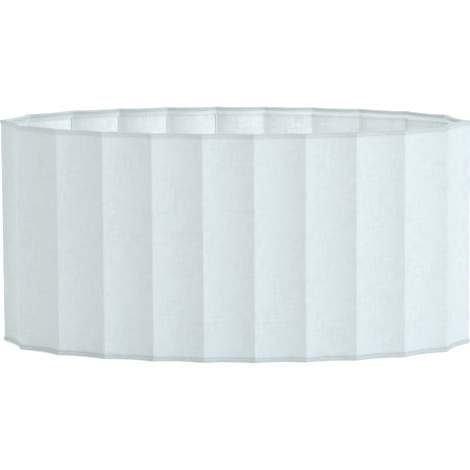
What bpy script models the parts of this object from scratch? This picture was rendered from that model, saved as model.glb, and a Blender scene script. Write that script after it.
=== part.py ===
"""Oval fluted lamp shade: linen over a white lining on a ribbed wire frame.

The plan is an ellipse cut by upright hollow flutes that meet in sharp
ridges.  Two bent ring wires hold that plan at the top and the bottom, a
thin rib stands in the fold behind every ridge, a lining sheet and a linen
cover wrap the frame, and a strip of linen is rolled over each ring.  Four
arms carry a recessed fitter ring, and a loose reducer ring rests in it.

Metres, +Z up, X along the oval, the front faces -Y, bottom edge at z = 0.
"""
import math

import bpy

# ---------------------------------------------------------------- sizes
WIDTH = 0.4524          # long way over the ridges of the linen
DEPTH = 0.2000          # short way, between the oval's front and back
HEIGHT = 0.2175          # bottom edge to top edge
FLUTES = 22             # hollow flutes round the shade, a ridge at each end
FLUTE_HOLLOW = 0.0040   # how deep each flute sinks behind its chord
FLUTE_STEPS = 6         # flat strips that make up one flute

GAP = 0.0003            # clearance between pieces that touch
LINEN = 0.0006          # cloth thickness
LINING = 0.0004         # stiff sheet behind the cloth
RING_R = 0.0015         # radius of the two ring wires
RIB_R = 0.0012          # radius of the ribs
ARM_R = 0.0014          # radius of the spider arms

EDGE_CLOTH = 0.0005     # thickness of the rolled edge strip
EDGE_LAP = 0.0040       # how far the strip comes down each face
EDGE_ROUND = 0.0010     # rounding of the roll
COVER_BACK = 0.0013     # cover and lining stop this far below the roll

ARM_RIDGE = 3           # the arms reach the third ridge from each end
RECESS = 0.030          # fitter ring top below the top edge
FITTER_HOLE = 0.0210    # radius of the fitter ring's hole
FITTER_BAND = 0.0070    # width of the plate round the hole
FITTER_T = 0.0020       # thickness of the plate
ARM_LAP = 0.0030        # arm end lapped under the plate
REDUCER_LIP = 0.0035    # reducer's flange rests this far over the plate
REDUCER_T = 0.0015      # flange thickness
REDUCER_WALL = 0.0062   # spigot wall, which leaves a 29 mm hole
REDUCER_DEPTH = 0.0022  # spigot stands this far out below the plate
CHAMFER = 0.0003        # broken edges of plate and flange

# insets of each layer, measured inwards from the outer face of the linen
LINING_OUT = LINEN + GAP
LINING_IN = LINING_OUT + LINING
RING_INSET = LINING_IN + GAP + RING_R
RIB_INSET = LINING_IN + GAP + RIB_R
EDGE_OUT = -GAP - EDGE_CLOTH
EDGE_IN = RING_INSET + RING_R + GAP + EDGE_CLOTH
RING_DROP = EDGE_CLOTH + GAP + RING_R   # ring wire's centre below the edge

# ---------------------------------------------------------------- scene
for old in list(bpy.data.objects):
    bpy.data.objects.remove(old, do_unlink=True)
shade = bpy.data.collections.new("oval_fluted_lamp_shade")
bpy.context.scene.collection.children.link(shade)


def finish(name, colour, rough, metal=0.0):
    """A plain Principled material."""
    mat = bpy.data.materials.new(name)
    mat.use_nodes = True
    node = mat.node_tree.nodes["Principled BSDF"]
    node.inputs["Base Color"].default_value = (*colour, 1.0)
    node.inputs["Roughness"].default_value = rough
    node.inputs["Metallic"].default_value = metal
    return mat


linen = finish("linen_white", (0.80, 0.84, 0.85), 0.9)
linen_edge = finish("linen_edge_white", (0.82, 0.86, 0.87), 0.9)
lining = finish("lining_white", (0.86, 0.87, 0.85), 0.5)
coated_wire = finish("wire_white_coated", (0.82, 0.83, 0.82), 0.4)
fitter_coat = finish("fitter_white_coated", (0.80, 0.81, 0.80), 0.4)
white_plastic = finish("reducer_white_plastic", (0.85, 0.85, 0.83), 0.45)


def place(name, data, mat, z=0.0):
    """Link one named piece into the shade's collection."""
    obj = bpy.data.objects.new(name, data)
    obj.location.z = z
    data.materials.append(mat)
    shade.objects.link(obj)
    return obj


# ---------------------------------------------------------------- plan
def oval_ridges():
    """Ridge points spaced evenly along the oval, from its +X end round."""
    fine = 4000
    track = []
    for i in range(fine):
        a = 2 * math.pi * i / fine
        track.append((WIDTH / 2 * math.cos(a), DEPTH / 2 * math.sin(a)))
    travelled = [0.0]
    for i in range(fine):
        travelled.append(travelled[-1] + math.dist(track[i], track[(i + 1) % fine]))
    points, j = [], 0
    for k in range(FLUTES):
        want = travelled[-1] * k / FLUTES
        while travelled[j + 1] < want:
            j += 1
        f = (want - travelled[j]) / (travelled[j + 1] - travelled[j])
        p, q = track[j], track[(j + 1) % fine]
        points.append((p[0] + (q[0] - p[0]) * f, p[1] + (q[1] - p[1]) * f))
    return points


def flute_circles():
    """Centre and radius of the circle each flute is cut from, all outside."""
    ridges = oval_ridges()
    circles = []
    for k in range(FLUTES):
        p, q = ridges[k], ridges[(k + 1) % FLUTES]
        chord = math.dist(p, q)
        radius = chord * chord / (8 * FLUTE_HOLLOW) + FLUTE_HOLLOW / 2
        out = ((q[1] - p[1]) / chord, (p[0] - q[0]) / chord)
        reach = radius - FLUTE_HOLLOW
        circles.append(((p[0] + q[0]) / 2 + out[0] * reach,
                        (p[1] + q[1]) / 2 + out[1] * reach, radius))
    return ridges, circles


RIDGES, CIRCLES = flute_circles()


def ridge_at(k, inset):
    """Where ridge k stands at an inset: the crossing of its two circles."""
    ax, ay, ar = CIRCLES[k - 1]
    bx, by, br = CIRCLES[k]
    ar, br = ar + inset, br + inset
    d = math.dist((ax, ay), (bx, by))
    along = (d * d + ar * ar - br * br) / (2 * d)
    side = math.sqrt(ar * ar - along * along)
    ux, uy = (bx - ax) / d, (by - ay) / d
    two = [(ax + ux * along - uy * side * s, ay + uy * along + ux * side * s)
           for s in (1, -1)]
    return min(two, key=lambda p: math.dist(p, RIDGES[k]))


def plan(inset):
    """The whole fluted outline at an inset from the linen's outer face."""
    points = []
    for k in range(FLUTES):
        cx, cy, _ = CIRCLES[k]
        r = CIRCLES[k][2] + inset
        p, q = ridge_at(k, inset), ridge_at((k + 1) % FLUTES, inset)
        a0 = math.atan2(p[1] - cy, p[0] - cx)
        a1 = math.atan2(q[1] - cy, q[0] - cx)
        turn = (a1 - a0 + math.pi) % (2 * math.pi) - math.pi
        points += [(cx + r * math.cos(a0 + turn * i / FLUTE_STEPS),
                    cy + r * math.sin(a0 + turn * i / FLUTE_STEPS))
                   for i in range(FLUTE_STEPS)]
    return points


# ---------------------------------------------------------------- makers
def wall(name, outer, inner, low, high, mat):
    """An upright fluted sheet: two outlines filled between and extruded."""
    curve = bpy.data.curves.new(name, "CURVE")
    curve.dimensions = "2D"
    curve.fill_mode = "BOTH"
    curve.extrude = (high - low) / 2
    for inset in (outer, inner):
        points = plan(inset)
        line = curve.splines.new("POLY")
        line.points.add(len(points) - 1)
        line.use_cyclic_u = True
        for spot, (x, y) in zip(line.points, points):
            spot.co = (x, y, 0.0, 1.0)
    return place(name, curve, mat, (low + high) / 2)


def wire(name, points, radius, mat, closed=False):
    """A round wire bent along the given points."""
    curve = bpy.data.curves.new(name, "CURVE")
    curve.dimensions = "3D"
    curve.bevel_depth = radius
    curve.bevel_resolution = 2
    curve.use_fill_caps = not closed
    line = curve.splines.new("POLY")
    line.points.add(len(points) - 1)
    line.use_cyclic_u = closed
    for spot, co in zip(line.points, points):
        spot.co = (*co, 1.0)
    return place(name, curve, mat)


def rolled_edge(name, up, mat):
    """The strip over a ring wire: a hooked section carried round the plan.

    The section is a channel open towards the middle of the shade's height.
    Every corner of it follows its own inset outline, so the strip keeps its
    thickness round the ridges; a sweep along one path would pinch there.
    """
    r, t = EDGE_ROUND, EDGE_CLOTH
    section = [(EDGE_OUT, EDGE_LAP), (EDGE_OUT, r), (EDGE_OUT + r, 0.0),
               (EDGE_IN - r, 0.0), (EDGE_IN, r), (EDGE_IN, EDGE_LAP),
               (EDGE_IN - t, EDGE_LAP), (EDGE_IN - t, r + t / 2),
               (EDGE_IN - r - t / 2, t), (EDGE_OUT + r + t / 2, t),
               (EDGE_OUT + t, r + t / 2), (EDGE_OUT + t, EDGE_LAP)]
    verts = [(x, y, HEIGHT - drop if up else drop)
             for inset, drop in section for x, y in plan(inset)]
    n, m = FLUTES * FLUTE_STEPS, len(section)
    faces = []
    for s in range(m):
        for i in range(n):
            a, b = s * n + i, s * n + (i + 1) % n
            c, d = (s + 1) % m * n + (i + 1) % n, (s + 1) % m * n + i
            faces.append((a, b, c, d) if up else (d, c, b, a))
    mesh = bpy.data.meshes.new(name)
    mesh.from_pydata(verts, [], faces)
    return place(name, mesh, mat)


def turned(name, section, mat, z):
    """A ring turned about the upright axis from its half section."""
    mesh = bpy.data.meshes.new(name)
    n = len(section)
    mesh.from_pydata([(r, 0.0, h) for r, h in section],
                     [(i, (i + 1) % n) for i in range(n)], [])
    obj = place(name, mesh, mat, z)
    lathe = obj.modifiers.new("turn", "SCREW")
    lathe.steps = lathe.render_steps = 48
    lathe.use_merge_vertices = True
    lathe.merge_threshold = 0.00001
    return obj


# ---------------------------------------------------------------- cover
cover_low, cover_high = COVER_BACK, HEIGHT - COVER_BACK
wall("linen_cover", 0.0, LINEN, cover_low, cover_high, linen)
wall("stiff_lining", LINING_OUT, LINING_IN, cover_low, cover_high, lining)
rolled_edge("top_rolled_edge", True, linen_edge)
rolled_edge("bottom_rolled_edge", False, linen_edge)

# ---------------------------------------------------------------- frame
ring_line = plan(RING_INSET)
for name, z in (("top_ring_wire", HEIGHT - RING_DROP), ("bottom_ring_wire", RING_DROP)):
    wire(name, [(x, y, z) for x, y in ring_line], RING_R, coated_wire, closed=True)

rib_low = RING_DROP + RING_R + GAP
for k in range(FLUTES):
    x, y = ridge_at(k, RIB_INSET)
    wire(f"rib_{k + 1:02d}", [(x, y, rib_low), (x, y, HEIGHT - rib_low)],
         RIB_R, coated_wire)

# ---------------------------------------------------------------- fitter
fitter_top = HEIGHT - RECESS
half = FLUTES // 2
fitter_r = FITTER_HOLE + FITTER_BAND
arm_z = fitter_top - FITTER_T - GAP - ARM_R
for n, k in enumerate((ARM_RIDGE, half - ARM_RIDGE, half + ARM_RIDGE, FLUTES - ARM_RIDGE)):
    x, y = ridge_at(k, RIB_INSET)
    far = math.hypot(x, y)
    stop = far - RIB_R - GAP
    start = fitter_r - ARM_LAP
    wire(f"spider_arm_{n + 1}",
         [(x / far * start, y / far * start, arm_z), (x / far * stop, y / far * stop, arm_z)],
         ARM_R, coated_wire)

turned("fitter_ring",
       [(fitter_r, -CHAMFER), (fitter_r, CHAMFER - FITTER_T),
        (fitter_r - CHAMFER, -FITTER_T), (FITTER_HOLE, -FITTER_T),
        (FITTER_HOLE, 0.0), (fitter_r - CHAMFER, 0.0)],
       fitter_coat, fitter_top)

# the reducer's flange rests on the plate and its spigot drops through
flange_r, spigot_r = FITTER_HOLE + REDUCER_LIP, FITTER_HOLE - GAP
flange_top, spigot_foot = GAP + REDUCER_T, -FITTER_T - REDUCER_DEPTH
turned("reducer_ring",
       [(flange_r, flange_top - CHAMFER), (flange_r, GAP),
        (spigot_r, GAP), (spigot_r, spigot_foot),
        (spigot_r - REDUCER_WALL, spigot_foot), (spigot_r - REDUCER_WALL, flange_top),
        (flange_r - CHAMFER, flange_top)],
       white_plastic, fitter_top)
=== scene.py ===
# %% [markdown]
# # An oval fluted lamp shade
#
# The shade is an ellipse seen from above, cut all round by upright hollow flutes that meet in
# sharp ridges. Slubby white linen is laid on a stiff white lining, the lining is carried by a
# wire frame with a rib in the fold behind each ridge, and a strip of the same linen is rolled
# over the top and bottom rings. Four arms hold a fitter ring below the top edge, with a loose
# reducer ring in it.
#
# The solid model of the same shade is loaded first. It fixes every size and every moving body;
# the cells below only make what the eye sees.

import bmesh
import bpy
import numpy as np
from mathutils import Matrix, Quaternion, Vector


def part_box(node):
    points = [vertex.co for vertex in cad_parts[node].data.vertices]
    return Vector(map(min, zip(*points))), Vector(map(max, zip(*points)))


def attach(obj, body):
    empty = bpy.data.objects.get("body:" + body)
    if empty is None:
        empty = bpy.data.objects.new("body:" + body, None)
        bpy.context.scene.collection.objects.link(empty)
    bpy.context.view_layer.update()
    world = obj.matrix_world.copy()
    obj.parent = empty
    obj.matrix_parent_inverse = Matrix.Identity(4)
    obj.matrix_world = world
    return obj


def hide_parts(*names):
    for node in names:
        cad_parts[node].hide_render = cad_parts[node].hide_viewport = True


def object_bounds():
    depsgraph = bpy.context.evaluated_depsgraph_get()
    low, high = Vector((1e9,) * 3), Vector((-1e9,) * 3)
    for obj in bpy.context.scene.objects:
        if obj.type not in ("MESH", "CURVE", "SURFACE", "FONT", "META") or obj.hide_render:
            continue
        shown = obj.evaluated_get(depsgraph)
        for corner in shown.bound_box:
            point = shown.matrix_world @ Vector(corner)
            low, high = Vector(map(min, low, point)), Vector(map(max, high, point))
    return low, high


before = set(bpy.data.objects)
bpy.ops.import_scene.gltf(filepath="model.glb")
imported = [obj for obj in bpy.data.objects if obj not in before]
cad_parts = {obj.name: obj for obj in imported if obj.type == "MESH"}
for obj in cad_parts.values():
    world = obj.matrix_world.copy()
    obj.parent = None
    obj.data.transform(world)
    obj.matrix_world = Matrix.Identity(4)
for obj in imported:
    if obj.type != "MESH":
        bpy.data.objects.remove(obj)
cad_box = [[float(c) for c in corner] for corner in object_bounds()]
box_low, box_high = (np.array(corner) for corner in cad_box)
MM = 0.001
HEIGHT = box_high[2] - box_low[2]
print("solid model", np.round((box_high - box_low) / MM, 1), "mm,", len(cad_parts), "nodes")

# %% [markdown]
# ## The camera
#
# A wall of flutes is read by its ridges, and a near camera would spread them unevenly. A long
# lens from three metres keeps them parallel, as a catalogue studio does. The camera stands ten
# degrees above the horizon and a little to the right of the front, and is rolled by a third of a
# degree, so that the rims fall as level as they do by eye.

# %% Camera
CAMERA_DISTANCE = 3.332
CAMERA_LENS = 264.3
CAMERA_AZIMUTH, CAMERA_ELEVATION = np.radians([3.5, 9.80])
CAMERA_ROLL = np.radians(-0.38)
AIM_LEFT, AIM_DOWN = 0.0002, 0.0034       # the shade sits this far off the view's middle

aside = np.array([np.cos(CAMERA_AZIMUTH), np.sin(CAMERA_AZIMUTH), 0.0])
back = np.array([np.sin(CAMERA_AZIMUTH) * np.cos(CAMERA_ELEVATION),
                 -np.cos(CAMERA_AZIMUTH) * np.cos(CAMERA_ELEVATION), np.sin(CAMERA_ELEVATION)])
above = np.cross(back, aside)
aim = (box_low + box_high) / 2 - aside * AIM_LEFT - above * AIM_DOWN

camera = bpy.data.objects.new("camera", bpy.data.cameras.new("camera"))
bpy.context.scene.collection.objects.link(camera)
camera.data.lens, camera.data.sensor_width = CAMERA_LENS, 36.0
camera.data.clip_start, camera.data.clip_end = 0.1, 100.0
camera.location = aim + back * CAMERA_DISTANCE
camera.rotation_mode = "QUATERNION"
level = (-Vector(back)).to_track_quat("-Z", "Y")
camera.rotation_quaternion = level @ Quaternion((0.0, 0.0, 1.0), CAMERA_ROLL)
bpy.context.scene.camera = camera
print("camera at", np.round(np.array(camera.location), 3))

# %% [markdown]
# ## Small helpers
#
# Every piece is a sheet of points on a grid: columns run round the piece, rows run along its
# section. One helper turns such a grid into a mesh, so no piece lists faces by hand. It also
# writes a UV map in metres, columns by length round the piece and rows by length along its
# section, so that a weave can follow the cloth round every fold at its real size.

# %% Grid to mesh
def surface(name, grid, lengths, section, closed=True):
    """A mesh from grid[row, column] = (x, y, z); columns always wrap, rows wrap if closed.

    lengths holds one more value than there are columns, and section one more than there are rows of
    faces, both in metres: they are the UV map.
    """
    rows, columns = grid.shape[:2]
    r, c = np.meshgrid(np.arange(rows if closed else rows - 1), np.arange(columns), indexing="ij")
    corners = [(r, c), (r, c + 1), (r + 1, c + 1), (r + 1, c)]
    quads = np.stack([(a % rows) * columns + b % columns for a, b in corners], -1).reshape(-1, 4)
    mesh = bpy.data.meshes.new(name)
    mesh.from_pydata(grid.reshape(-1, 3).tolist(), [], quads.tolist())
    uv = np.stack([np.stack([lengths[b], section[a]], -1) for a, b in corners], 2)
    layer = mesh.uv_layers.new(name="cloth")
    layer.data.foreach_set("uv", uv.astype(np.float32).ravel())
    mesh.shade_smooth()
    mesh.update()
    piece = bpy.data.objects.new(name, mesh)
    bpy.context.scene.collection.objects.link(piece)
    return piece


def walked(points, closed=False):
    """Length travelled along a line of points, from 0; closed adds the step back to the start."""
    line = np.vstack([points, points[:1]]) if closed else points
    return np.concatenate([[0.0], np.cumsum(np.linalg.norm(np.diff(line, axis=0), axis=1))])


def count(piece):
    """Triangles in a piece before its modifiers."""
    return sum(len(p.vertices) - 2 for p in piece.data.polygons)


# %% [markdown]
# ## The plan
#
# On the real shade the two ring wires are bent to the fluted plan, and everything else follows
# them. The plan could be one wavy line pushed in and out, but each layer of the wall needs its
# own copy, a little inside the last, and a scaled copy would thin the wall at the ridges. Each
# flute is therefore an arc of a circle whose centre stands outside the shade. A layer further in
# uses the same centres with larger radii, and its ridges are where neighbouring circles cross.

# %% Ridges and flute circles
FLUTES = 22
LONG, SHORT = 452.4 * MM, 200.0 * MM      # the ellipse the ridges stand on
HOLLOW = 4.0 * MM                         # depth of a flute behind its chord
PLAN_STEPS = 4000                         # steps in which the ellipse is walked


def even_ridges():
    """The ellipse is walked in small steps and marked at equal shares of its length."""
    turn = np.linspace(0.0, 2 * np.pi, PLAN_STEPS + 1)
    track = np.stack([LONG / 2 * np.cos(turn), SHORT / 2 * np.sin(turn)], 1)
    done = walked(track)
    marks = done[-1] * np.arange(FLUTES) / FLUTES
    return np.stack([np.interp(marks, done, track[:, i]) for i in (0, 1)], 1)


ridge = even_ridges()
to_next = np.roll(ridge, -1, axis=0) - ridge
chord = np.linalg.norm(to_next, axis=1)
radius = chord ** 2 / (8 * HOLLOW) + HOLLOW / 2
outward = np.stack([to_next[:, 1], -to_next[:, 0]], 1) / chord[:, None]
centre = ridge + to_next / 2 + outward * (radius - HOLLOW)[:, None]
print(f"chord {chord.mean() / MM:.1f} mm, flute radius {radius.mean() / MM:.1f} mm")


# %% The outline at any inset
ARC_POINTS, FOLD_POINTS = 20, 3           # points on a flute, and round each ridge
FLUTE_COLUMNS = ARC_POINTS + FOLD_POINTS
COLUMNS = FLUTES * FLUTE_COLUMNS
LINEN_FOLD, LINING_FOLD, ROLL_FOLD = 0.7 * MM, 0.6 * MM, 0.9 * MM    # how far a bend reaches
MEASURED_FOLD = 1.0 * MM                  # the same, on the line that lengths are measured along


def ridges_at(inset):
    """Where the circles of two neighbouring flutes cross, once both have grown by the inset.

    With the centres d apart the crossing lies (d*d + ra*ra - rb*rb) / 2d along the line between
    them, and off it by the rest of Pythagoras; of the two crossings the one by the ridge is kept.
    """
    ca, ra, rb = np.roll(centre, 1, axis=0), np.roll(radius, 1) + inset, radius + inset
    link = centre - ca
    d = np.linalg.norm(link, axis=1)
    along = (d ** 2 + ra ** 2 - rb ** 2) / (2 * d)
    off = np.sqrt(ra ** 2 - along ** 2)
    unit = link / d[:, None]
    side = np.stack([-unit[:, 1], unit[:, 0]], 1) * off[:, None]
    foot = ca + unit * along[:, None]
    near = np.linalg.norm(foot + side - ridge, axis=1) < np.linalg.norm(foot - side - ridge, axis=1)
    return np.where(near[:, None], foot + side, foot - side)


def outline(inset, fold):
    """The fluted plan at an inset, as COLUMNS points: each flute's fold first, then its arc.

    A flute is its arc, less `fold` metres at each end. A ridge is the parabola from one arc's end A
    to the next one's start B, drawn towards the sharp corner Q: (1-t)^2 A + 2t(1-t) Q + t^2 B.
    """
    corner, r = ridges_at(inset), radius + inset
    start = np.arctan2(*(corner - centre).T[::-1])
    stop = np.arctan2(*(np.roll(corner, -1, axis=0) - centre).T[::-1])
    turn = (stop - start + np.pi) % (2 * np.pi) - np.pi
    trim = np.sign(turn) * fold / r
    share = np.linspace(0.0, 1.0, ARC_POINTS)
    angle = (start + trim)[:, None] + (turn - 2 * trim)[:, None] * share
    arc = centre[:, None] + r[:, None, None] * np.stack([np.cos(angle), np.sin(angle)], -1)
    t = (np.arange(FOLD_POINTS) + 1.0)[None, :, None] / (FOLD_POINTS + 1)
    a, q, b = np.roll(arc[:, -1:], 1, axis=0), corner[:, None], arc[:, :1]
    bend = (1 - t) ** 2 * a + 2 * t * (1 - t) * q + t ** 2 * b
    return np.concatenate([bend, arc], axis=1).reshape(-1, 2)


around = walked(outline(0.0, MEASURED_FOLD), closed=True)
print(f"cloth runs {around[-1] / MM:.0f} mm round the flutes, {COLUMNS} columns")


# %% A section carried round the plan
def carried(insets, heights, folds):
    """grid[row, column]: each point of a section (inset, height) runs round its own outline."""
    rings = [np.column_stack([outline(i, f), np.full(COLUMNS, h)])
             for i, h, f in zip(insets, heights, folds)]
    return np.stack(rings)


def facing_out(grid):
    """Level directions across the plan: the step to the next column, turned clockwise."""
    step = np.roll(grid, -1, axis=1) - np.roll(grid, 1, axis=1)
    level = np.stack([step[..., 1], -step[..., 0], np.zeros(step.shape[:2])], -1)
    return level / np.linalg.norm(level, axis=-1, keepdims=True)


# %% [markdown]
# ## Handwork
#
# A cover laid by hand is never a perfect surface. Slow waves run through it, so highlights along
# the ridges wander by a hair. Random points would tear the seam where the cloth meets itself, so
# the waves are sines that turn a whole number of times round the shade.

# %% Slow waves in the cloth
SINES = 48                                # how many are summed
QUICK_FADE = 3.0                          # how much less the quicker ones weigh


def waves(lengths, heights, size, shortest, seed):
    """A sum of sines of random direction and phase, `size` metres at its usual height.

    Each turns a whole number of times round the shade, with no wavelength under `shortest` either
    round it or up it, and weighs 1 / (1 + QUICK_FADE * shortest / its wavelength round the shade).
    """
    rng = np.random.default_rng(seed)
    total = around[-1]
    turns = rng.integers(2, int(total / shortest), SINES)
    climb = rng.uniform(-1.0, 1.0, SINES) / shortest
    phase = rng.uniform(0.0, 2 * np.pi, SINES)
    weight = 1.0 / (1.0 + turns * shortest / total * QUICK_FADE)
    angle = (2 * np.pi * (turns * lengths[..., None] / total + climb * heights[..., None]) + phase)
    field = (np.sin(angle) * weight).sum(-1)
    return size * field / np.sqrt((weight ** 2).sum() / 2)


def eased(x):
    """Smooth step from 0 to 1: 3x^2 - 2x^3, held flat outside."""
    x = np.clip(x, 0.0, 1.0)
    return x * x * (3.0 - 2.0 * x)


# %% [markdown]
# ## The linen cover
#
# The linen is one sheet, glued to the lining and wrapped round until its ends meet. It could be a
# plain surface given a thickness by a modifier, but the two faces are not alike: the outer one
# ripples, while the inner one lies flat on the lining. So the section goes up the outer face and
# down the inner one, and the two share the turned top and bottom. The ends overlap by ten
# millimetres beside a ridge at the back, and the lap shows as a step the thickness of the cloth.

# %% Linen cover
LINEN, LINING, GAP = 0.6 * MM, 0.4 * MM, 0.3 * MM
COVER_BACK = 1.3 * MM                     # cover and lining stop this far below the roll
LAP_WIDTH, LAP_STEP = 10.0 * MM, 0.35 * MM
LAP_RIDGE = 8                             # a ridge at the back
LAP_PAST_RIDGE = FOLD_POINTS + 2          # columns from that ridge to the start of the lap
LAP_RISE, LAP_FALL = 1.2 * MM, 4 * MM     # how quickly it steps up, and how slowly it ends
RIPPLE, RIPPLE_SHORTEST = 0.10 * MM, 22 * MM
RIPPLE_CALM = 12 * MM                     # the ripple dies away this near a roll
WALL_ROWS = 64


def linen_cover():
    """The outer face stands out by slow waves that die away near each roll, and by the lap."""
    z = np.linspace(COVER_BACK, HEIGHT - COVER_BACK, WALL_ROWS)
    outer = carried(np.zeros(WALL_ROWS), z, np.full(WALL_ROWS, LINEN_FOLD))
    inner = carried([LINEN, LINEN], [z[-1], z[0]], [LINEN_FOLD] * 2)
    s, h = np.meshgrid(around[:-1], z)
    calm = eased((h - z[0]) / RIPPLE_CALM) * eased((z[-1] - h) / RIPPLE_CALM)
    ripple = waves(s, h, RIPPLE, RIPPLE_SHORTEST, seed=3) * calm
    lap_start = around[LAP_RIDGE * FLUTE_COLUMNS + LAP_PAST_RIDGE]
    lap = eased((s - lap_start) / LAP_RISE) * eased((lap_start + LAP_WIDTH - s) / LAP_FALL)
    proud = ripple + LAP_STEP * lap * calm
    outer = outer + facing_out(outer) * proud[..., None]
    grid = np.concatenate([outer, inner])
    climb = np.concatenate([z, [z[-1] + LINEN, z[-1] + LINEN + z[-1] - z[0]]])
    section = np.concatenate([climb, [climb[-1] + LINEN]])
    print(f"ripple {np.abs(ripple).max() / MM:.2f} mm at most")
    return surface("linen_cover_cloth", grid, around, section)


cover = linen_cover()
print("linen cover:", count(cover), "triangles")

# %% [markdown]
# ## The stiff lining
#
# Behind the linen lies a sheet of white styrene, scored on the outside so that it snaps into the
# ridges. It follows the plan one cloth and one gap further in. It keeps its own waves, slower and
# smaller than the linen's, because a plastic sheet bends but doesn't ripple.

# %% Stiff lining
LINING_OUT = LINEN + GAP
LINING_IN = LINING_OUT + LINING
LINING_WAVE, LINING_SHORTEST = 0.03 * MM, 45 * MM
LINING_CALM = 15 * MM                     # the waves die away this near an edge
LINING_ROWS = 24


def stiff_lining():
    """Up the outer face in two rows, down the inner one in many, the inner face moved by waves."""
    z = np.linspace(HEIGHT - COVER_BACK, COVER_BACK, LINING_ROWS)
    outer = carried([LINING_OUT] * 2, [z[-1], z[0]], [LINING_FOLD] * 2)
    inner = carried([LINING_IN] * LINING_ROWS, z, [LINING_FOLD] * LINING_ROWS)
    s, h = np.meshgrid(around[:-1], z)
    calm = eased((h - z[-1]) / LINING_CALM) * eased((z[0] - h) / LINING_CALM)
    bend = waves(s, h, LINING_WAVE, LINING_SHORTEST, seed=8) * calm
    inner = inner - facing_out(inner) * bend[..., None]
    grid = np.concatenate([outer, inner])
    section = np.concatenate([[z[-1], z[0]], z, [z[-1]]])
    return surface("stiff_lining_sheet", grid, around, section)


lining = stiff_lining()
print("stiff lining:", count(lining), "triangles")

# %% [markdown]
# ## The rolled edges
#
# A strip of the same linen is glued to the outside of the wall, rolled over the ring wire and
# tucked in between the wire and the lining. A tube round the wire would be quick, but the roll
# swells a little past the wall and its foot lies flat on it, and the light along the rim follows
# that. The strip is therefore a hooked section with its own thickness, carried round the plan.
# From the ring its inner leg slopes back to the lining, which it meets some eight millimetres
# below the rim, over the ends of the ribs.

# %% Rolled edges
EDGE_SECTION = np.array([                 # inset and drop below the rim, in mm, in walking order
    (-0.12, 3.90), (-0.30, 3.60), (-0.46, 3.10), (-0.62, 2.50), (-0.72, 1.80), (-0.66, 1.15),
    (-0.40, 0.55), (0.12, 0.18), (0.90, 0.03), (2.30, 0.00), (3.60, 0.08), (4.40, 0.34),
    (4.96, 0.86), (5.26, 1.60), (5.24, 2.40), (4.96, 3.20), (4.40, 4.00), (3.60, 4.78),
    (2.85, 5.55), (2.28, 6.35), (1.88, 7.15), (1.62, 7.90), (1.50, 8.30), (1.46, 8.10),
    (1.60, 7.30), (1.98, 6.40), (2.52, 5.55), (3.20, 4.70), (3.90, 3.86), (4.42, 3.06),
    (4.72, 2.30), (4.76, 1.70), (4.56, 1.18), (4.16, 0.80), (3.50, 0.58), (2.30, 0.50),
    (0.98, 0.53), (0.36, 0.66), (-0.04, 0.96), (-0.22, 1.45), (-0.20, 2.00), (-0.10, 2.70),
    (0.0, 3.30)]) * MM
CROWN_INSET = 2.3 * MM                    # outer side before it, inner side past it
WAVER, WAVER_SHORTEST = 0.10 * MM, 14 * MM
WAVER_START, WAVER_GROWS = 1.2 * MM, 2.4 * MM
PINCH, PINCH_SHORTEST = 0.05 * MM, 9 * MM
PINCH_REACH, PINCH_FADE = 1.5, 3 * MM
OUTER_PINCH, INNER_PINCH = -1.0, 0.3      # how far each side is drawn towards the other


def rolled_edge(name, top, seed):
    """Each point of the section runs round its own outline; the strip's width wavers by hand.

    Points low on either leg move up and down by the waves, points on the crown stay level, and the
    walking order is turned round for the bottom edge, so that the faces look outwards there too.
    A second set of waves draws the roll's two sides together, the inner one less, and never apart.
    """
    insets, drops = EDGE_SECTION.T
    s, d = np.meshgrid(around[:-1], drops)
    waver = waves(s, d, WAVER, WAVER_SHORTEST, seed) * eased((d - WAVER_START) / WAVER_GROWS)
    pinch = waves(s, d, PINCH, PINCH_SHORTEST, seed + 1) * eased(PINCH_REACH - d / PINCH_FADE)
    drop = d + waver
    grid = carried(insets, drops, np.full(len(insets), ROLL_FOLD))
    side = np.where(insets < CROWN_INSET, OUTER_PINCH, INNER_PINCH)[:, None, None]
    grid = grid + facing_out(grid) * side * np.abs(pinch)[..., None]
    grid[..., 2] = HEIGHT - drop if top else drop
    section = walked(EDGE_SECTION, closed=True)
    if not top:
        grid, section = grid[::-1], section[::-1]
    return surface(name, grid, around, section)


top_edge = rolled_edge("top_rolled_edge_cloth", True, seed=21)
bottom_edge = rolled_edge("bottom_rolled_edge_cloth", False, seed=31)
print("rolled edges:", count(top_edge), "triangles each")

# %% [markdown]
# ## Wires and turned rings
#
# Ribs, arms and the fitter are all round somewhere, so one helper serves them: a half section
# walked round an axis. A rod's section starts and ends on the axis, which closes both ends. A
# ring's section is a loop that stays off it.
#
# The ribs are wire, one in each fold of the lining, swollen at both ends by the weld. They are
# shown a millimetre across, slimmer than in the solid model, because thicker rods read as hard
# lines.

# %% Turned pieces
def turned(name, section, steps, foot=(0, 0, 0), axis=(0, 0, 1), closed=False):
    """grid[row, column] = foot + height * axis + radius * (cos, sin) across it.

    section lists (radius, height) in metres, outer side first going up. A point on the axis makes
    one ring of equal corners, and those are merged into a single pole.
    """
    axis = np.array(axis, float) / np.linalg.norm(axis)
    helper = np.array([1.0, 0, 0]) if abs(axis[0]) < 0.9 else np.array([0, 1.0, 0])
    across = np.cross(axis, helper)
    across /= np.linalg.norm(across)
    other = np.cross(axis, across)
    section = np.array(section, float)
    angle = np.linspace(0.0, 2 * np.pi, steps, endpoint=False)
    ring = np.cos(angle)[:, None] * across + np.sin(angle)[:, None] * other
    grid = (np.array(foot, float) + section[:, 1, None, None] * axis
            + section[:, 0, None, None] * ring)
    size = section[:, 0].max() * 2 * np.pi
    piece = surface(name, grid, np.linspace(0.0, size, steps + 1),
                    walked(section, closed=closed), closed=closed)
    if not closed:
        build = bmesh.new()
        build.from_mesh(piece.data)
        bmesh.ops.remove_doubles(build, verts=build.verts, dist=1e-7)
        build.to_mesh(piece.data)
        build.free()
    return piece


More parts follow.
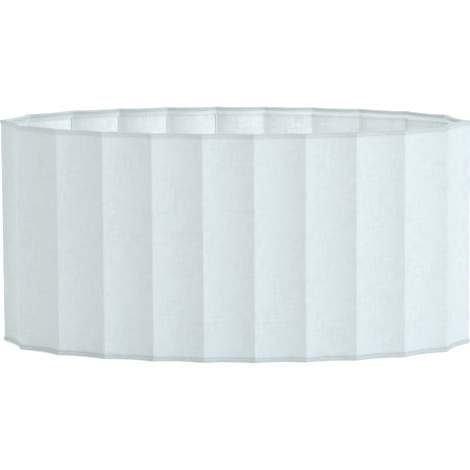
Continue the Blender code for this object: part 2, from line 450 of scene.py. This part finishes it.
# %% Ribs
RIB_R, RIB_SIDES = 0.5 * MM, 16
RIB_INSET = LINING_IN + 0.04 * MM + RIB_R     # a hair of air between rib and lining
RIB_END = 7.2 * MM                        # the ribs stop this far from the rims, under the strip
BEAD = 0.20 * MM                          # how far a weld swells the rib
rib_spots = ridges_at(RIB_INSET)
rib_length = HEIGHT - RIB_END - RIB_END
weld = [(RIB_R * 0.9, 0), (RIB_R + BEAD, 0.7 * MM), (RIB_R + BEAD * 0.8, 1.6 * MM),
        (RIB_R, 2.8 * MM)]
rib_section = [(0, 0), *weld, *((r, rib_length - h) for r, h in weld[::-1]), (0, rib_length)]
ribs = [turned(f"rib_rod_{k + 1:02d}", rib_section, RIB_SIDES, foot=(x, y, RIB_END))
        for k, (x, y) in enumerate(rib_spots)]
print(len(ribs), "ribs of", count(ribs[0]), "triangles")

# %% [markdown]
# ## The fitter
#
# The lampholder passes through a flat ring at the middle. Four straight arms run from it to ribs
# near the corners of the oval, where they are out of sight from the front. Each arm is lapped
# under the ring and spot welded, and its far end is welded to its rib. The welds are swellings of
# the arm's own section, since that is what they are on the real wire.

# %% Spider arms
ARM_R, ARM_SIDES = 1.4 * MM, 20
ARM_START = 25.0 * MM                     # from the middle to the arm's near end, under the ring
ARM_BITE = 0.2 * MM                       # how far its far end is sunk in the rib
ARM_RIBS = (3, 8, 14, 19)                 # the ribs they reach, numbered from 0
arms = []
for n, k in enumerate(ARM_RIBS):
    low, high = (np.array(corner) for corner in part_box(f"spider_arm_{n + 1}"))
    spot = np.append(rib_spots[k], (low[2] + high[2]) / 2)
    way = spot * [1, 1, 0] / np.linalg.norm(spot[:2])
    end = np.linalg.norm(spot[:2]) - RIB_R + ARM_BITE
    foot = way * ARM_START + [0, 0, spot[2]]
    length = end - ARM_START
    section = [(0, 0), (ARM_R * 0.7, 0.05 * MM), (ARM_R, 0.5 * MM), (ARM_R, 6 * MM),
               (ARM_R, length - 4.0 * MM), (ARM_R * 1.12, length - 2.4 * MM),
               (ARM_R * 1.4, length - 1.1 * MM), (ARM_R * 1.45, length - 0.4 * MM),
               (ARM_R * 1.1, length), (0, length)]
    arms.append(turned(f"spider_arm_wire_{n + 1}", section, ARM_SIDES, foot=foot, axis=way))
print(len(arms), "arms of", round(length / MM), "mm")

# %% Fitter ring and reducer ring
fitter_low, fitter_high = (np.array(corner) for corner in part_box("fitter_ring"))
reducer_low, reducer_high = (np.array(corner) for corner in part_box("reducer_ring"))


def rounded(corners, radius, points=4):
    """A closed section, each corner cut back by `radius` and bridged by the parabola towards it."""
    corners = np.array(corners, float)
    before, after = np.roll(corners, 1, axis=0), np.roll(corners, -1, axis=0)
    t = np.linspace(0.0, 1.0, points)[None, :, None]
    a = corners + (before - corners) * (radius / np.linalg.norm(before - corners, axis=1))[:, None]
    b = corners + (after - corners) * (radius / np.linalg.norm(after - corners, axis=1))[:, None]
    curve = (1 - t) ** 2 * a[:, None] + 2 * t * (1 - t) * corners[:, None] + t ** 2 * b[:, None]
    return curve.reshape(-1, 2)


RING_STEPS = 96
PLATE_ROUND, MOULD_ROUND = 0.45 * MM, 0.22 * MM     # how far the corners are rounded
FITTER_HOLE, FITTER_T = 21.0 * MM, fitter_high[2] - fitter_low[2]
fitter_r = (fitter_high[0] - fitter_low[0]) / 2
fitter = turned("fitter_ring_plate", rounded(
    [(fitter_r, 0), (fitter_r, FITTER_T), (FITTER_HOLE, FITTER_T), (FITTER_HOLE, 0)], PLATE_ROUND),
    RING_STEPS, foot=(0, 0, fitter_low[2]), closed=True)

REDUCER_WALL = 6.2 * MM
FLANGE_T = 1.5 * MM
LAND, SLOPE_END, DISH = 1.5 * MM, 2.1 * MM, 0.5 * MM     # a shallow dish between two flat lands
REDUCER_HOLE = FITTER_HOLE - GAP - REDUCER_WALL
flange_r, spigot_r = (reducer_high[0] - reducer_low[0]) / 2, FITTER_HOLE - GAP
reducer_tall = reducer_high[2] - reducer_low[2]
flange_low = reducer_tall - FLANGE_T
reducer = turned("reducer_ring_moulding", rounded(
    [(spigot_r, 0), (spigot_r, flange_low), (flange_r, flange_low), (flange_r, reducer_tall),
     (spigot_r - LAND, reducer_tall), (spigot_r - SLOPE_END, reducer_tall - DISH),
     (REDUCER_HOLE + SLOPE_END, reducer_tall - DISH), (REDUCER_HOLE + LAND, reducer_tall),
     (REDUCER_HOLE, reducer_tall), (REDUCER_HOLE, 0)], MOULD_ROUND, points=3),
    RING_STEPS, foot=(0, 0, reducer_low[2]), closed=True)
print(f"fitter {2 * fitter_r / MM:.0f} mm across, reducer's hole {2 * REDUCER_HOLE / MM:.0f} mm")

# %% [markdown]
# ## Materials
#
# One helper adds a node, sets it up, joins it to what comes before it and hands back what it
# gives. Another turns the hex colour a painter would name into the linear numbers light is worked
# out in.

# %% Node and colour helpers
# Sockets that share a name with others on their node are known by number.
COLOUR_A, COLOUR_B, COLOUR = 6, 7, 2      # a Mix node's two colours, and the colour it gives
FLOAT_A, FLOAT_B = 2, 3                   # a Mix node's two numbers
OBJECT = 3                                # what a Texture Coordinate node gives
X, Y, Z = 0, 1, 2                         # what a Separate XYZ node gives


def linear(hex_colour):
    """sRGB hex to linear: c / 12.92 up to 0.04045, else ((c + 0.055) / 1.055) ^ 2.4."""
    c = np.array([int(hex_colour[i:i + 2], 16) / 255 for i in (1, 3, 5)])
    c = np.where(c <= 0.04045, c / 12.92, ((c + 0.055) / 1.055) ** 2.4)
    return (*c.tolist(), 1.0)


def add(tree, kind, inputs, gives=0, **settings):
    """One node. Each input, by name or number, is a value or an earlier node's output to join.

    It hands back the node's output `gives`, ready to be another node's input.
    """
    node = tree.nodes.new(kind)
    for name, value in settings.items():
        setattr(node, name, value)
    for name, value in inputs.items():
        if isinstance(value, bpy.types.NodeSocket):
            tree.links.new(value, node.inputs[name])
        else:
            node.inputs[name].default_value = value
    return node.outputs[gives] if len(node.outputs) else None


def finish(name):
    """An empty material and its node tree."""
    material = bpy.data.materials.new(name)
    material.use_nodes = True
    material.node_tree.nodes.clear()
    return material, material.node_tree


# %% [markdown]
# ## The weave
#
# Furnishing linen is a plain weave, each flax thread uneven: long thin stretches, then a slub two
# or three times as thick. The weave could be a checkerboard, but from two metres nobody sees the
# checks, only the streaks that the uneven threads leave, level and upright. So the threads are
# noise drawn out along each direction. The real ones lie under a millimetre apart, which is too
# fine to show, so each streak here stands for two or three threads. The slubs are a slower noise
# of which only the peaks are kept.

# %% Threads and slubs
STREAK, RUN = 2.6 * MM, 11 * MM           # a streak's width, and how far it keeps one thickness
SLUB_WIDE, SLUB_LONG = 3.2 * MM, 22 * MM
CLOUD = 26 * MM                           # size of the patches where the flax is more uneven


def grain(tree, uv, wide, tall, detail, shift):
    """Noise whose grain is `wide` metres round the shade and `tall` metres up it."""
    placed = add(tree, "ShaderNodeMapping", {
        "Vector": uv, "Location": (shift, shift * 1.7, 0.0), "Scale": (1 / wide, 1 / tall, 1.0)})
    return add(tree, "ShaderNodeTexNoise", {
        "Vector": placed, "Scale": 1.0, "Detail": detail, "Roughness": 0.5}, noise_dimensions="2D")


def woven(tree):
    """The cloth's uv, its threads and its slubs; the last two run from 0, thin, to 1, thick.

    threads = upright streaks + level streaks, stretched over the middle of their range, and drawn
    towards 0.5 where a slow cloud is thin
    slubs = the higher of the upright and level peaks, times the same cloud
    """
    uv = add(tree, "ShaderNodeUVMap", {}, uv_map="cloth")
    both = add(tree, "ShaderNodeMath", {
        0: grain(tree, uv, STREAK, RUN, 1.0, 0.0), 1: grain(tree, uv, RUN, STREAK, 1.0, 5.3)})
    threads = add(tree, "ShaderNodeMapRange", {"Value": both, "From Min": 0.74, "From Max": 1.26})
    upright, level = (
        add(tree, "ShaderNodeMapRange", {"Value": noise, "From Min": 0.56, "From Max": 0.78})
        for noise in (grain(tree, uv, SLUB_WIDE, SLUB_LONG, 2.0, 11.9),
                      grain(tree, uv, SLUB_LONG, SLUB_WIDE, 2.0, 23.1)))
    peaks = add(tree, "ShaderNodeMath", {0: upright, 1: level}, operation="MAXIMUM")
    cloud = add(tree, "ShaderNodeMapRange", {
        "Value": grain(tree, uv, CLOUD, CLOUD, 2.0, 37.7),
        "From Min": 0.40, "From Max": 0.60, "To Min": 0.3, "To Max": 1.0})
    patchy = add(tree, "ShaderNodeMix", {0: cloud, FLOAT_A: 0.5, FLOAT_B: threads},
                 data_type="FLOAT")
    slubs = add(tree, "ShaderNodeMath", {0: peaks, 1: cloud}, operation="MULTIPLY")
    return uv, patchy, slubs


# %% [markdown]
# ## Linen
#
# The cloth is bleached flax: matt, a little cool, with a faint sheen at the edges of its form,
# and with a few flecks of straw left in it. It is thin, so part of the light that reaches it
# comes out of its other face. Near both rims its colour is painted a shade greyer: painted shade,
# standing for the light that the ring, the turned edge and the glue under it keep from coming
# through. That depends only on height, so it is worked out from the height of each point above
# the foot of the shade.

# %% Linen material
# Painted rim shade: it fades out at the first distance and is full at the second, both from a rim.
RIM_SHADE_BAND, RIM_SHADE_FULL = 6.5 * MM, 2.0 * MM   # the backed edge fades out and is full this far in
STRAW_WIDE, STRAW_TALL = 3.2 * MM, 1.8 * MM
# The first colour below is real straw; the second is painted light on the tuck of the rolled strip,
# where the roll shades it.
STRAW, TUCK_PAINTED_LIGHT = "#BDBBA8", "#DBE2E3"
WALL_FADE, CROWN_FADE, TUCK_FADE = 1.2 * MM, 1.4 * MM, 3.0 * MM


def linen(name, crown, hollow, slub, painted_rim_shade, through, walk_marks=None):
    """Bleached flax: `crown` on thick threads, `hollow` between them, `slub` on the thick places.

    The rim colour is painted shade, multiplied into the colour in the band by each rim, and
    `through` is the share of light that passes. `walk_marks` is for the rolled strip: the lengths
    along its section, in metres, at which its crown starts and ends and its tuck starts. The crown
    is kept clear of the painted shade, and the tuck is painted lighter, a painted light against the
    roll's shadow.
    """
    material, tree = finish(name)
    uv, threads, slubs = woven(tree)
    ground = add(tree, "ShaderNodeMix", {
        0: threads, COLOUR_A: linear(hollow), COLOUR_B: linear(crown)}, COLOUR, data_type="RGBA")
    slubbed = add(tree, "ShaderNodeMix", {
        0: slubs, COLOUR_A: ground, COLOUR_B: linear(slub)}, COLOUR, data_type="RGBA")
    straw = add(tree, "ShaderNodeMapRange", {
        "Value": grain(tree, uv, STRAW_WIDE, STRAW_TALL, 1.0, 61.3),
        "From Min": 0.80, "From Max": 0.90, "To Max": 0.35})
    flecked = add(tree, "ShaderNodeMix", {
        0: straw, COLOUR_A: slubbed, COLOUR_B: linear(STRAW)}, COLOUR, data_type="RGBA")
    place = add(tree, "ShaderNodeTexCoord", {}, gives=OBJECT)
    height = add(tree, "ShaderNodeSeparateXYZ", {0: place}, gives=Z)
    off_middle = add(tree, "ShaderNodeMath", {0: height, 1: HEIGHT / 2}, operation="SUBTRACT")
    reach = add(tree, "ShaderNodeMath", {0: off_middle}, operation="ABSOLUTE")
    # Painted shade: within a band by each rim the colour is multiplied towards grey.
    rim_shade_mask = add(tree, "ShaderNodeMapRange", {
        "Value": reach, "From Min": HEIGHT / 2 - RIM_SHADE_BAND, "From Max": HEIGHT / 2 - RIM_SHADE_FULL},
        interpolation_type="SMOOTHSTEP")
    # On the rolled strip the crown is kept clear of the painted rim shade and its underside keeps
    # it, and the tuck is painted lighter: painted light against the shadow under the roll.
    if walk_marks:
        crown_start, crown_end, tuck_start = walk_marks
        walk = add(tree, "ShaderNodeSeparateXYZ", {0: uv}, gives=Y)
        wall = add(tree, "ShaderNodeMapRange", {
            "Value": walk, "From Min": crown_start, "From Max": crown_start + WALL_FADE,
            "To Min": 1.0, "To Max": 0.0})
        under = add(tree, "ShaderNodeMapRange", {
            "Value": walk, "From Min": crown_end, "From Max": crown_end + CROWN_FADE})
        tuck = add(tree, "ShaderNodeMapRange", {
            "Value": walk, "From Min": tuck_start, "From Max": tuck_start + TUCK_FADE})
        shaded = add(tree, "ShaderNodeMath", {0: wall, 1: under}, operation="MAXIMUM")
        rim_shade_mask = add(tree, "ShaderNodeMath", {0: rim_shade_mask, 1: shaded}, operation="MULTIPLY")
        rim_shade_mask = add(tree, "ShaderNodeMath", {0: rim_shade_mask, 1: tuck},
                     operation="SUBTRACT", use_clamp=True)
        flecked = add(tree, "ShaderNodeMix", {
            0: tuck, COLOUR_A: flecked, COLOUR_B: linear(TUCK_PAINTED_LIGHT)}, COLOUR, data_type="RGBA")
    # Here the rims are painted greyer: painted shade.
    colour = add(tree, "ShaderNodeMix", {
        0: rim_shade_mask, COLOUR_A: flecked, COLOUR_B: linear(painted_rim_shade)},
        COLOUR, data_type="RGBA", blend_type="MULTIPLY")
    relief = add(tree, "ShaderNodeMath", {0: slubs, 1: 0.8, 2: threads}, operation="MULTIPLY_ADD")
    bump = add(tree, "ShaderNodeBump", {"Height": relief, "Strength": 0.6, "Distance": 0.13 * MM})
    cloth = add(tree, "ShaderNodeBsdfPrincipled", {
        "Base Color": colour, "Normal": bump, "Roughness": 0.9,
        "Specular IOR Level": 0.25, "Sheen Weight": 0.08, "Sheen Roughness": 0.5})
    lit_through = add(tree, "ShaderNodeBsdfTranslucent", {"Color": colour, "Normal": bump})
    both = add(tree, "ShaderNodeMixShader", {0: through, 1: cloth, 2: lit_through})
    add(tree, "ShaderNodeOutputMaterial", {"Surface": both})
    return material


# Both linens are painted a shade greyer by each rim: painted shade.
# Flax spun wet into uneven thread, woven plain, bleached in the piece and pressed.
cover_linen = linen("bleached_slub_linen", "#D7E0E0", "#D1DADB", "#CFD8D8",
                    painted_rim_shade="#E9EAEA", through=0.10)
# The same cloth, cut in strips, brushed with glue and rolled over the ring by hand.
edge_linen = linen("bleached_slub_linen_rolled", "#D7E0E0", "#D1DADB", "#D0D9D9",
                   painted_rim_shade="#E9EAEA", through=0.05,
                   walk_marks=(4.0 * MM, 8.4 * MM, 11.5 * MM))

# %% [markdown]
# ## Styrene lining
#
# Lampshade styrene is a matt, milky sheet less than half a millimetre thick. Light comes through
# it, and with the light the shadow of the linen's thick threads, so from inside the weave looks
# stronger than from outside; that shadow is painted into the lining's colour. The lining has the
# same UV map as the linen and reads the same threads. A soft band beside each fold is painted
# darker and a little greener: painted shade of the fold.

# %% Lining material
# Painted shade beside each fold: a soft band of the lining, centred on the line below, is painted
# darker and greener.
FOLD_SHADE_LINE = around[ARC_POINTS + 1]        # middle of a band, three to six mm to one side of a fold
FOLD_SHADE_FULL, FOLD_SHADE_GONE = 1.2 * MM, 5.0 * MM     # full this near its middle, gone this far from it
LINING_THROUGH = 0.1                      # share of the light that passes


def milky_sheet(name, clear, shadowed, fold_shade):
    """Matt styrene: `clear`, but `shadowed` where the cloth's threads and slubs show through it.

    The last colour is painted shade beside each fold: it tints a band up each flute, full near the
    band's middle, fading to nothing at its edges.
    """
    material, tree = finish(name)
    uv, threads, slubs = woven(tree)
    shadow = add(tree, "ShaderNodeMath", {0: threads, 1: slubs}, operation="MAXIMUM")
    colour = add(tree, "ShaderNodeMix", {
        0: shadow, COLOUR_A: linear(clear), COLOUR_B: linear(shadowed)}, COLOUR, data_type="RGBA")
    walk = add(tree, "ShaderNodeSeparateXYZ", {0: uv}, gives=X)
    past = add(tree, "ShaderNodeMath", {0: walk, 1: FOLD_SHADE_LINE}, operation="SUBTRACT")
    off_line = add(tree, "ShaderNodeMath", {0: past, 1: around[-1] / FLUTES / 2},
                   operation="PINGPONG")
    fold_shaded = add(tree, "ShaderNodeMapRange", {
        "Value": off_line, "From Min": FOLD_SHADE_FULL, "From Max": FOLD_SHADE_GONE,
        "To Min": 1.0, "To Max": 0.0})
    colour = add(tree, "ShaderNodeMix", {
        0: fold_shaded, COLOUR_A: colour, COLOUR_B: linear(fold_shade)}, COLOUR, data_type="RGBA")
    sheet = add(tree, "ShaderNodeBsdfPrincipled", {
        "Base Color": colour, "Roughness": 0.55, "IOR": 1.55, "Specular IOR Level": 0.35})
    lit_through = add(tree, "ShaderNodeBsdfTranslucent", {"Color": colour})
    both = add(tree, "ShaderNodeMixShader", {0: LINING_THROUGH, 1: sheet, 2: lit_through})
    add(tree, "ShaderNodeOutputMaterial", {"Surface": both})
    return material


# Extruded sheet, drawn between matt rollers and scored on its outer face.
# Its last colour is painted shade for the band beside each fold.
styrene = milky_sheet("milky_styrene_lining", "#EFF4F5", "#DFE5E5", "#E5EAE8")

# %% [markdown]
# ## Coated steel and moulded plastic
#
# The frame is mild steel wire, welded and then powder coated white. Powder coat flows out into a
# fine orange peel about half a millimetre across, and turns dull where hands and dust reach it.
# The reducer is moulded polypropylene: smoother, warmer, a little waxy.

# %% Coated steel and plastic materials
WEAR_CLOUD = 14 * MM                      # size of the patches that have dulled


def skin(name, clean, worn, roughness, peel_size, peel_height, coat):
    """A painted or moulded skin: two near colours in slow clouds, and a fine peel as bump."""
    material, tree = finish(name)
    place = add(tree, "ShaderNodeTexCoord", {}, gives=OBJECT)
    clouds = add(tree, "ShaderNodeTexNoise", {
        "Vector": place, "Scale": 1 / WEAR_CLOUD, "Detail": 3.0})
    wear = add(tree, "ShaderNodeMapRange", {"Value": clouds, "From Min": 0.42, "From Max": 0.72})
    colour = add(tree, "ShaderNodeMix", {
        0: wear, COLOUR_A: linear(clean), COLOUR_B: linear(worn)}, COLOUR, data_type="RGBA")
    dull = add(tree, "ShaderNodeMapRange", {
        "Value": clouds, "From Min": 0.3, "From Max": 0.7,
        "To Min": roughness, "To Max": roughness + 0.12})
    peel = add(tree, "ShaderNodeTexNoise", {"Vector": place, "Scale": 1 / peel_size, "Detail": 1.0})
    bump = add(tree, "ShaderNodeBump", {"Height": peel, "Strength": 0.4, "Distance": peel_height})
    coated = add(tree, "ShaderNodeBsdfPrincipled", {
        "Base Color": colour, "Roughness": dull, "Normal": bump, "IOR": 1.5,
        "Coat Weight": coat, "Coat Roughness": 0.25})
    add(tree, "ShaderNodeOutputMaterial", {"Surface": coated})
    return material


# Drawn wire, degreased, sprayed with dry powder and baked.
wire_coat = skin("powder_coated_wire", "#E6EAEA", "#DCE1E1", 0.36, 0.5 * MM, 0.03 * MM, 0.15)
# Punched plate, its edge tumbled, in the same powder, which lies thicker on the flat.
plate_coat = skin("powder_coated_plate", "#EDF0F0", "#DEE1E1", 0.34, 0.5 * MM, 0.03 * MM, 0.15)
# Moulded in one shot against a polished mould, and left as it came out.
plastic = skin("moulded_polypropylene", "#F2F1EC", "#E9E8E1", 0.42, 0.25 * MM, 0.01 * MM, 0.0)

# %% [markdown]
# ## Putting it together
#
# Each piece is given its finish and the body it moves with, and the solids it stands for are
# hidden. The ring wires are hidden inside the rolled edges, so their solids stay as they are and
# only take the coat.

# %% Riding, replacing and finishes
def assign(piece, material, body, slot, *nodes):
    """Gives a piece its finish and the body it rides on, and hides the solids it stands for; `slot`
    is not used.
    """
    piece.data.materials.append(material)
    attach(piece, body)
    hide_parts(*nodes)


assign(cover, cover_linen, "shade", "linen_white", "linen_cover")
assign(lining, styrene, "shade", "lining_white", "stiff_lining")
assign(top_edge, edge_linen, "shade", "linen_edge_white", "top_rolled_edge")
assign(bottom_edge, edge_linen, "shade", "linen_edge_white", "bottom_rolled_edge")
for k, rib in enumerate(ribs):
    assign(rib, wire_coat, "shade", "wire_white_coated", f"rib_{k + 1:02d}")
for n, arm in enumerate(arms):
    assign(arm, wire_coat, "shade", "wire_white_coated", f"spider_arm_{n + 1}")
assign(fitter, plate_coat, "shade", "fitter_white_coated", "fitter_ring")
assign(reducer, plastic, "reducer", "reducer_white_plastic", "reducer_ring")
for name in ("top_ring_wire", "bottom_ring_wire"):
    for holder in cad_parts[name].material_slots:
        holder.material = wire_coat

# %% [markdown]
# ## The cloth's flat sizes
#
# The cover was cut as one rectangle: its length is the walk round all the flutes plus the lap,
# its width the height of the wall. Each rolled edge was a strip as long as the cover.

# %% [markdown]
# ## Floor and light
#
# White cloth on a white ground keeps its form only if the light leans to one side. The shade
# stands on a table of white acrylic lit from below, as small things are shown: it is as bright
# from the front as from behind, and takes almost no shadow. One broad light low on the right,
# faintly blue like daylight, makes each hollow bright where it turns towards it and grey where it
# turns away. A weak one on the left keeps the far end from going dull, one overhead lights the
# rims, and one from behind shines through the cloth. An even white room does the rest. The four
# lights are far off, so they are sun lamps, and their wide angles make them soft.
#
# Light from outside hardly reaches the inner face of the back wall. An oval lamp lies low inside
# the shade, facing up and shifted to the right, where the camera doesn't see it.

# %% Floor, lights and sky
GLOW, ROOM = 0.22, 0.60                   # these six are shares of what white paper gives back
KEY, FILL, ABOVE, BEHIND = 0.50, 0.12, 0.15, 0.20
LAMP_WATTS, LAMP_PLACE = 0.185, (75 * MM, 0.0, 30 * MM)
LAMP_SPAN = (0.56 * LONG, 0.60 * SHORT)
SPECK = 3 * MM
TABLE_HALF, TABLE_DROP = 30, 0.2 * MM     # metres from its middle to an edge; just under the shade


def lit_table(name):
    """White acrylic, cast and then sanded matt: a faint grain, and its own even glow."""
    material, tree = finish(name)
    place = add(tree, "ShaderNodeTexCoord", {}, gives=OBJECT)
    specks = add(tree, "ShaderNodeTexNoise", {"Vector": place, "Scale": 1 / SPECK, "Detail": 2.0})
    colour = add(tree, "ShaderNodeMix", {
        0: specks, COLOUR_A: linear("#FAFAFA"), COLOUR_B: linear("#FDFDFD")},
        COLOUR, data_type="RGBA")
    face = add(tree, "ShaderNodeBsdfPrincipled", {
        "Base Color": colour, "Roughness": 0.9, "Specular IOR Level": 0.1,
        "Emission Color": linear("#FFFFFF"), "Emission Strength": GLOW})
    add(tree, "ShaderNodeOutputMaterial", {"Surface": face})
    return material


floor_mesh = bpy.data.meshes.new("studio_table")
floor_mesh.from_pydata([(x * TABLE_HALF, y * TABLE_HALF, float(box_low[2]) - TABLE_DROP)
                        for x, y in ((-1, -1), (1, -1), (1, 1), (-1, 1))], [], [(0, 1, 2, 3)])
floor_mesh.materials.append(lit_table("white_acrylic_table"))
floor = bpy.data.objects.new("studio_table", floor_mesh)
bpy.context.scene.collection.objects.link(floor)


def far_light(name, share, turn, rise, spread, tint="#FFFFFF"):
    """A sun lamp `turn` degrees to the right of the front and `rise` up; `spread` softens it."""
    light = bpy.data.objects.new(name, bpy.data.lights.new(name, "SUN"))
    light.data.energy, light.data.angle = share * np.pi, np.radians(spread)
    light.data.color = linear(tint)[:3]
    turn, rise = np.radians(turn), np.radians(rise)
    towards = Vector((np.sin(turn) * np.cos(rise), -np.cos(turn) * np.cos(rise), np.sin(rise)))
    light.rotation_mode = "QUATERNION"
    light.rotation_quaternion = towards.to_track_quat("Z", "Y")
    bpy.context.scene.collection.objects.link(light)


far_light("key_right", KEY, 57.0, 20.0, 45.0, "#F1F5FF")
far_light("fill_left", FILL, -100.0, 20.0, 60.0)
far_light("from_above", ABOVE, 0.0, 88.0, 60.0)
far_light("rim_behind", BEHIND, 215.0, 30.0, 30.0)

lamp = bpy.data.objects.new("lamp_inside", bpy.data.lights.new("lamp_inside", "AREA"))
lamp.data.shape, lamp.data.energy = "ELLIPSE", LAMP_WATTS
lamp.data.size, lamp.data.size_y = LAMP_SPAN
lamp.location = LAMP_PLACE
lamp.rotation_euler = (np.pi, 0.0, 0.0)
lamp.visible_camera = False
bpy.context.scene.collection.objects.link(lamp)

room = bpy.data.worlds.new("white_room")
room.use_nodes = True
room.node_tree.nodes["Background"].inputs["Color"].default_value = linear("#FFFFFF")
room.node_tree.nodes["Background"].inputs["Strength"].default_value = ROOM
bpy.context.scene.world = room
bpy.context.scene.view_settings.view_transform = "Standard"
print("light on white paper: room", ROOM, "key", KEY, "table's glow", GLOW)
